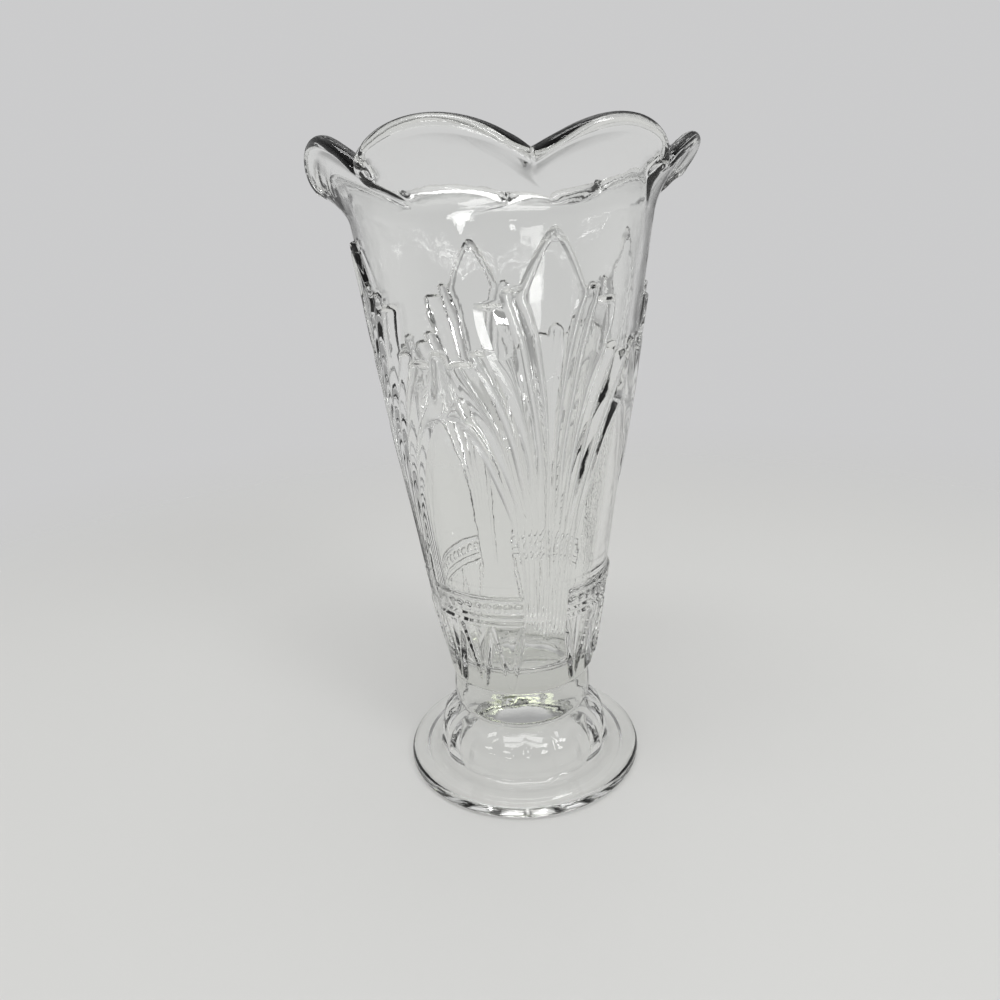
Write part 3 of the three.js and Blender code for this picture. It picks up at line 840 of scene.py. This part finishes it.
@dataclass(frozen=True)
class Foot:
    """The hollow domed foot with its flutes, flange and thick rounded edge."""

    NAME = "vase_foot"
    radius: float = 51.6
    edge: float = 2.8
    slope_rise: float = 1.6
    dome: float = 38.0
    shoulder: float = 34.5
    shoulder_drop: float = 4.6
    top: float = 26.14
    seat: float = 27.0
    glass: float = 5.0
    ring_width: float = 4.5
    ring_height: float = 1.4
    flutes: int = 16
    flute_depth: float = 1.0
    flute_fade: Pair = (2.0, 2.5)
    columns: int = 192

    def hollow(self) -> list[Pair]:
        """Returns the underside's section, from the axis down to the resting ring."""
        roof, rest = self.top - self.glass, self.ring_height
        wall = self.dome - self.glass
        ring = self.radius - self.edge - self.ring_width
        outline = Track((
            (0.0, roof), (0.5, roof - 0.35), (0.72, roof - 1.1), (0.86, roof - 2.9),
            (0.955, roof - 6.5), (0.99, roof - 12.0), (1.0, rest + self.glass / 2),
        ))
        shares = (0.0, 0.25, 0.5, 0.65, 0.75, 0.82, 0.88, 0.925, 0.955, 0.975, 0.99, 1.0)
        points = [(wall * share, outline.at(share)) for share in shares]
        return points + [
            (wall + 0.25, rest + 1.1), (wall + 0.8, rest + 0.35), (wall + 1.8, rest),
            ((wall + ring) / 2, rest), (ring - 2.2, rest), (ring - 1.2, rest - 0.25),
            (ring - 0.4, 0.35), (ring + 0.3, 0.05), (ring + 0.9, 0.0),
        ]

    def outside(self) -> list[Pair]:
        """Returns the outside's section, from the resting ring up to the collar's seat."""
        centre = self.radius - self.edge
        flange = 2 * self.edge + self.slope_rise
        shoulder = self.top - self.shoulder_drop
        points = []
        for angle in range(-90, 91, 15):
            out, up = polar(self.edge, angle)
            points.append((centre + out, self.edge + up))
        points += [
            (lerp(centre, self.dome, 0.3), lerp(2 * self.edge, flange, 0.32)),
            (lerp(centre, self.dome, 0.6), lerp(2 * self.edge, flange, 0.68)),
            (lerp(centre, self.dome, 0.82), flange), (lerp(centre, self.dome, 0.94), flange + 0.55),
            (self.dome, flange + 1.5),
        ]
        wall = Track((
            (flange + 1.5, self.dome), (lerp(flange, shoulder, 0.6), self.dome - 1),
            (shoulder, self.shoulder), (self.top - 1.2, lerp(self.seat, self.shoulder, 0.42)),
            (self.top, self.seat),
        ))
        low, high = flange + 1.5, self.top
        levels = [lerp(low, high, k / 16) for k in range(1, 17)]
        points += [(wall.at(level), level) for level in levels]
        return points + [(0.0, self.top)]

    def build(self, materials: Sequence[Material]) -> Object:
        """Returns the foot, spun and then drawn in between its flutes."""
        section = self.hollow() + self.outside()
        bm = spin_section(section, self.columns)
        flange = 2 * self.edge + self.slope_rise
        for vertex in bm.verts:
            radius = math.hypot(vertex.co.x, vertex.co.y)
            if radius < self.seat + 0.2 or vertex.co.z < flange or radius > self.dome + 0.5:
                continue
            rise = smooth(flange, flange + self.flute_fade[0], vertex.co.z)
            rise *= smooth(self.top, self.top - self.flute_fade[1], vertex.co.z)
            azimuth = math.atan2(vertex.co.x, -vertex.co.y)
            drawn = self.flute_depth * rise * (1 - abs(math.sin(azimuth * self.flutes / 2)))
            vertex.co.xy *= (radius - drawn) / radius
        last = len(section) - 1
        return new_piece(self.NAME, bm, materials, [(last - 1, last)])


@dataclass(frozen=True)
class Value:
    """An output socket of a node, whose arithmetic adds Math nodes to its recipe."""

    recipe: "Recipe"
    node: Node
    output: str | int = 0

    def value(self, output: str | int) -> "Value":
        """Returns another of the node's outputs, by its name or number."""
        return Value(self.recipe, self.node, output)

    def _math(self, operation: str, other: Any) -> "Value":
        """Returns what one Math node makes of this and another value."""
        return self.recipe.node("ShaderNodeMath", {0: self, 1: other}, operation=operation)

    def __add__(self, other: Any) -> "Value":
        """Adds."""
        return self._math("ADD", other)

    __radd__ = __add__

    def __mul__(self, other: Any) -> "Value":
        """Multiplies."""
        return self._math("MULTIPLY", other)


class Recipe:
    """A node tree under construction."""

    def __init__(self, tree: NodeTree) -> None:
        """Args:
            tree: the material's or world's node tree, which is emptied.
        """
        self.tree = tree
        tree.nodes.clear()

    def node(self, kind: str, inputs: dict[Any, Any] | None = None, **settings: Any) -> Value:
        """Adds a node.

        Args:
            kind: the node's type.
            inputs: numbers, colours or Values by socket name or number.
            settings: its own settings; stops is a ramp's list of (place, colour).

        Returns:
            The node's first output.
        """
        node = self.tree.nodes.new(kind)
        for name, setting in settings.items():
            if name == "stops":
                while len(node.color_ramp.elements) < len(setting):
                    node.color_ramp.elements.new(1.0)
                for element, (place, colour) in zip(node.color_ramp.elements, setting):
                    element.position, element.color = place, (*colour, 1.0)
            else:
                setattr(node, name, setting)
        for name, given in (inputs or {}).items():
            if isinstance(given, Value):
                self.tree.links.new(given.node.outputs[given.output], node.inputs[name])
            else:
                node.inputs[name].default_value = given
        return Value(self, node)


def new_material(name: str) -> tuple[Material, Recipe]:
    """Makes a material and returns it with its emptied recipe."""
    made = bpy.data.materials.new(name)
    made.use_nodes = True
    return made, Recipe(made.node_tree)


@dataclass(frozen=True)
class Glass:
    """One piece's clear glass: near-white body, green-grey depth and pressed ripples."""

    name: str
    body: Colour = (0.981, 0.984, 0.976)
    streak: Colour = (0.967, 0.971, 0.96)
    depth: Colour = (0.55, 0.57, 0.48)
    density: float = 1.0
    roughness: float = 0.006
    wear: float = 0.03
    ripple_scale: float = 95.0
    ripple: float = 0.00010
    grain_scale: float = 520.0
    grain: float = 0.000010

    def material(self) -> Material:
        """Returns the glass material."""
        made, recipe = new_material(self.name)
        place = recipe.node("ShaderNodeTexCoord").value("Object")

        def noise(scale: float, detail: float) -> Value:
            """Returns a noise pattern on the piece's own coordinates."""
            inputs = {"Vector": place, "Scale": scale, "Detail": detail}
            return recipe.node("ShaderNodeTexNoise", inputs)

        ripples, grain = noise(self.ripple_scale, 1.5), noise(self.grain_scale, 2.0)
        streaks = noise(self.ripple_scale / 3, 3.0)
        colour = recipe.node("ShaderNodeMix", {
            "Factor": streaks, "A": (*self.body, 1.0), "B": (*self.streak, 1.0),
        }, data_type="RGBA")
        height = ripples * self.ripple + grain * self.grain
        bump = recipe.node("ShaderNodeBump", {"Strength": 1.0, "Distance": 1.0, "Height": height})
        shader = recipe.node("ShaderNodeBsdfPrincipled", {
            "Base Color": colour.value(2),
            "Roughness": self.roughness + grain * streaks * self.wear,
            "Normal": bump,
            "IOR": 1.5,
            "Transmission Weight": 1.0,
        })
        self._fill(recipe, shader)
        return made

    def joint(self) -> Material:
        """Returns the material of a hot joint, where glass runs into glass unseen."""
        made, recipe = new_material(self.name + "_joint")
        shader = recipe.node("ShaderNodeBsdfPrincipled", {
            "Base Color": (*self.body, 1.0), "Roughness": self.roughness, "Alpha": 0.0,
        })
        self._fill(recipe, shader)
        return made

    def _fill(self, recipe: Recipe, shader: Value) -> None:
        """Joins a surface and the tint of the glass's depth to the material's output."""
        depth = recipe.node("ShaderNodeVolumeAbsorption", {
            "Color": (*self.depth, 1.0), "Density": self.density,
        })
        recipe.node("ShaderNodeOutputMaterial", {"Surface": shader, "Volume": depth})


@dataclass(frozen=True)
class Lamp:
    """A soft rectangular lamp.

    bearing is degrees round from behind the camera to its right, rise is degrees above the
    table's level, and turn is degrees about its own aim.
    """

    name: str
    bearing: float
    rise: float
    distance: float
    size: Pair
    radiance: float
    turn: float = 0.0

    def build(self, aim: Vector) -> None:
        """Adds the lamp, turned to the aim; its brightness is per area, as a panel's is."""
        data = bpy.data.lights.new(self.name, "AREA")
        data.shape = "RECTANGLE"
        data.size, data.size_y = self.size
        data.energy = self.radiance * math.pi * self.size[0] * self.size[1]
        lamp = bpy.data.objects.new(self.name, data)
        level, up = polar(self.distance, self.rise)
        back, right = polar(level, self.bearing)
        away = Vector((right, -back, up))
        lamp.location = aim + away
        lamp.rotation_mode = "QUATERNION"
        turned = Quaternion((0, 0, 1), math.radians(self.turn))
        lamp.rotation_quaternion = (-away).to_track_quat("-Z", "Y") @ turned
        lamp.visible_camera = False
        bpy.context.scene.collection.objects.link(lamp)


@dataclass(frozen=True)
class Stage:
    """The pale floor, the plain surroundings, the lamps and the camera."""

    floor: Colour = (0.68, 0.68, 0.665)
    floor_glow: Colour = (0.64, 0.64, 0.625)
    glow_share: float = 0.4
    floor_roughness: float = 0.55
    patch_scale: float = 2.5
    patch_shade: float = 0.97
    floor_gap: float = 0.0001
    floor_size: float = 3.0
    floor_near: float = 0.3
    floor_far: float = 0.75
    lamps: tuple[Lamp, ...] = (
        Lamp("bar", -10, 71, 1.5, (1.5, 0.42), 5.5),
        Lamp("diamond", 40, 33, 1.2, (0.36, 0.36), 9.0, turn=45),
        Lamp("spot", -10, 28, 1.2, (0.1, 0.07), 9.0),
        Lamp("window", -27, 13, 1.6, (0.6, 0.22), 6.5),
        Lamp("ceiling", 150, 75, 1.8, (0.9, 0.9), 0.8),
    )
    lamp_aim: Colour = (0.0, 0.0, 0.2)
    backdrop: Colour = (0.60, 0.60, 0.605)
    sky: tuple[tuple[float, Colour], ...] = (
        (0.0, (0.62, 0.62, 0.612)), (0.5, (0.64, 0.64, 0.642)), (0.64, (0.62, 0.62, 0.622)),
        (0.70, (0.4, 0.4, 0.4)), (0.79, (0.36, 0.36, 0.365)), (0.88, (0.7, 0.7, 0.7)),
        (1.0, (0.9, 0.9, 0.9)),
    )
    round_about: tuple[Pair, ...] = (
        (0.0, 1.0), (0.10, 1.0), (0.135, 0.48), (0.19, 0.48), (0.24, 1.0), (0.48, 1.0),
        (0.60, 0.75), (0.70, 0.58), (0.86, 0.58), (1.0, 0.6),
    )
    distance: float = 0.2908
    camera_height: float = 0.21116
    pitch: float = 17.692
    yaw: float = -1.158
    roll: float = -2.854
    focal: float = 0.732
    sensor: float = 36.0

    def build_floor(self) -> None:
        """Adds the floor, a hair under the foot so that no faces coincide."""
        bm = bmesh.new()
        bmesh.ops.create_grid(bm, x_segments=2, y_segments=2, size=self.floor_size / 2 / MM)
        bmesh.ops.translate(bm, verts=bm.verts, vec=(0, 0, -self.floor_gap / MM))
        material, recipe = new_material("pale_floor")
        place = recipe.node("ShaderNodeTexCoord").value("Object")
        patch = recipe.node("ShaderNodeTexNoise", {
            "Vector": place, "Scale": self.patch_scale, "Detail": 2.0,
        })
        dark = tuple(self.patch_shade * part for part in self.floor)
        colour = recipe.node("ShaderNodeMix", {
            "Factor": patch, "A": (*self.floor, 1.0), "B": (*dark, 1.0),
        }, data_type="RGBA")
        shader = recipe.node("ShaderNodeBsdfPrincipled", {
            "Base Color": colour.value(2), "Roughness": self.floor_roughness,
        })
        reach = recipe.node("ShaderNodeVectorMath", {0: place}, operation="LENGTH")
        gone = recipe.node("ShaderNodeMapRange", {
            "Value": reach.value("Value"), "From Min": self.floor_near, "From Max": self.floor_far,
        }, interpolation_type="SMOOTHSTEP")
        rays = recipe.node("ShaderNodeLightPath")
        seen = rays.value("Is Camera Ray") + rays.value("Is Glossy Ray")
        seen = seen + rays.value("Is Transmission Ray")
        glow = recipe.node("ShaderNodeEmission", {"Color": (*self.floor_glow, 1.0)})
        bright = recipe.node("ShaderNodeMixShader", {0: seen * self.glow_share, 1: shader, 2: glow})
        clear = recipe.node("ShaderNodeBsdfTransparent")
        mixed = recipe.node("ShaderNodeMixShader", {0: gone, 1: bright, 2: clear})
        recipe.node("ShaderNodeOutputMaterial", {"Surface": mixed})
        floor = new_piece("pale_floor", bm, [material])

    def build_sky(self) -> None:
        """Sets plain surroundings.

        They are pale to eye height, a greyer room above and a pale ceiling, with two soft
        grey screens on either side, as glass is lit to show its edges. The camera itself
        sees an even pale backdrop.
        """
        world = bpy.data.worlds.new("surroundings")
        world.use_nodes = True
        bpy.context.scene.world = world
        recipe = Recipe(world.node_tree)
        way = recipe.node("ShaderNodeTexCoord").value("Generated")
        parts = recipe.node("ShaderNodeSeparateXYZ", {"Vector": way})
        rise = parts.value("Z") * 0.5 + 0.5
        ramp = recipe.node("ShaderNodeValToRGB", {"Fac": rise}, stops=self.sky)
        bearing = recipe.node(
            "ShaderNodeMath", {0: parts.value("X"), 1: parts.value("Y")}, operation="ARCTAN2"
        )
        aside = recipe.node("ShaderNodeMath", {0: bearing}, operation="ABSOLUTE")
        stops = [(place, (share, share, share)) for place, share in self.round_about]
        screens = recipe.node("ShaderNodeValToRGB", {"Fac": aside * (1 / math.pi)}, stops=stops)
        lit = recipe.node("ShaderNodeMix", {
            "Factor": 1.0, "A": ramp, "B": screens,
        }, data_type="RGBA", blend_type="MULTIPLY")
        seen = recipe.node("ShaderNodeLightPath").value("Is Camera Ray")
        shown = recipe.node("ShaderNodeMix", {
            "Factor": seen, "A": lit.value(2), "B": (*self.backdrop, 1.0),
        }, data_type="RGBA")
        light = recipe.node("ShaderNodeBackground", {"Color": shown.value(2)})
        recipe.node("ShaderNodeOutputWorld", {"Surface": light})

    def build_camera(self) -> None:
        """Adds the camera where the photograph was taken from."""
        flat, drop = polar(1, self.pitch)
        north, east = polar(1, self.yaw)
        along, across = polar(1, self.roll)
        ahead = Vector((east * flat, north * flat, -drop))
        level = Vector((north, -east, 0))
        upright = level.cross(ahead)
        right = along * level + across * upright
        up = along * upright - across * level
        data = bpy.data.cameras.new("camera")
        data.sensor_width = self.sensor
        data.lens = self.focal * self.sensor
        data.clip_start, data.clip_end = 0.01, 50.0
        camera = bpy.data.objects.new("camera", data)
        turned = Matrix((right, up, -ahead)).transposed().to_4x4()
        camera.matrix_world = Matrix.Translation((0, -self.distance, self.camera_height)) @ turned
        bpy.context.scene.collection.objects.link(camera)
        bpy.context.scene.camera = camera

    def build(self) -> None:
        """Adds everything round the vase."""
        self.build_floor()
        self.build_sky()
        for lamp in self.lamps:
            lamp.build(Vector(self.lamp_aim))
        self.build_camera()


def dress(part: Any, node: str, slot: str) -> None:
    """Builds a piece of glass in its CAD node's place and reports it.

    Args:
        part: the Foot, Collar or Bowl.
        node: the CAD node that it stands for.
        slot: the record's material slot, which names its glass too.
    """
    glass = Glass(slot)
    piece = part.build([glass.material(), glass.joint()])
    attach(piece, "root")
    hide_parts(node)
    piece.data.calc_loop_triangles()
    log.info("%s: %d triangles, for %s", piece.name, len(piece.data.loop_triangles), node)


def main() -> None:
    """Builds the vase and its stage in order."""
    dress(Foot(), "foot", "foot_glass")
    dress(Collar(), "collar", "collar_glass")
    dress(Bowl(), "bowl", "bowl_glass")
    Stage().build()
    bpy.context.scene.view_settings.view_transform = "Standard"
    cycles = bpy.context.scene.cycles
    cycles.max_bounces, cycles.transmission_bounces = 24, 20
    cycles.transparent_max_bounces = 16


if __name__ == "__main__":
    main()
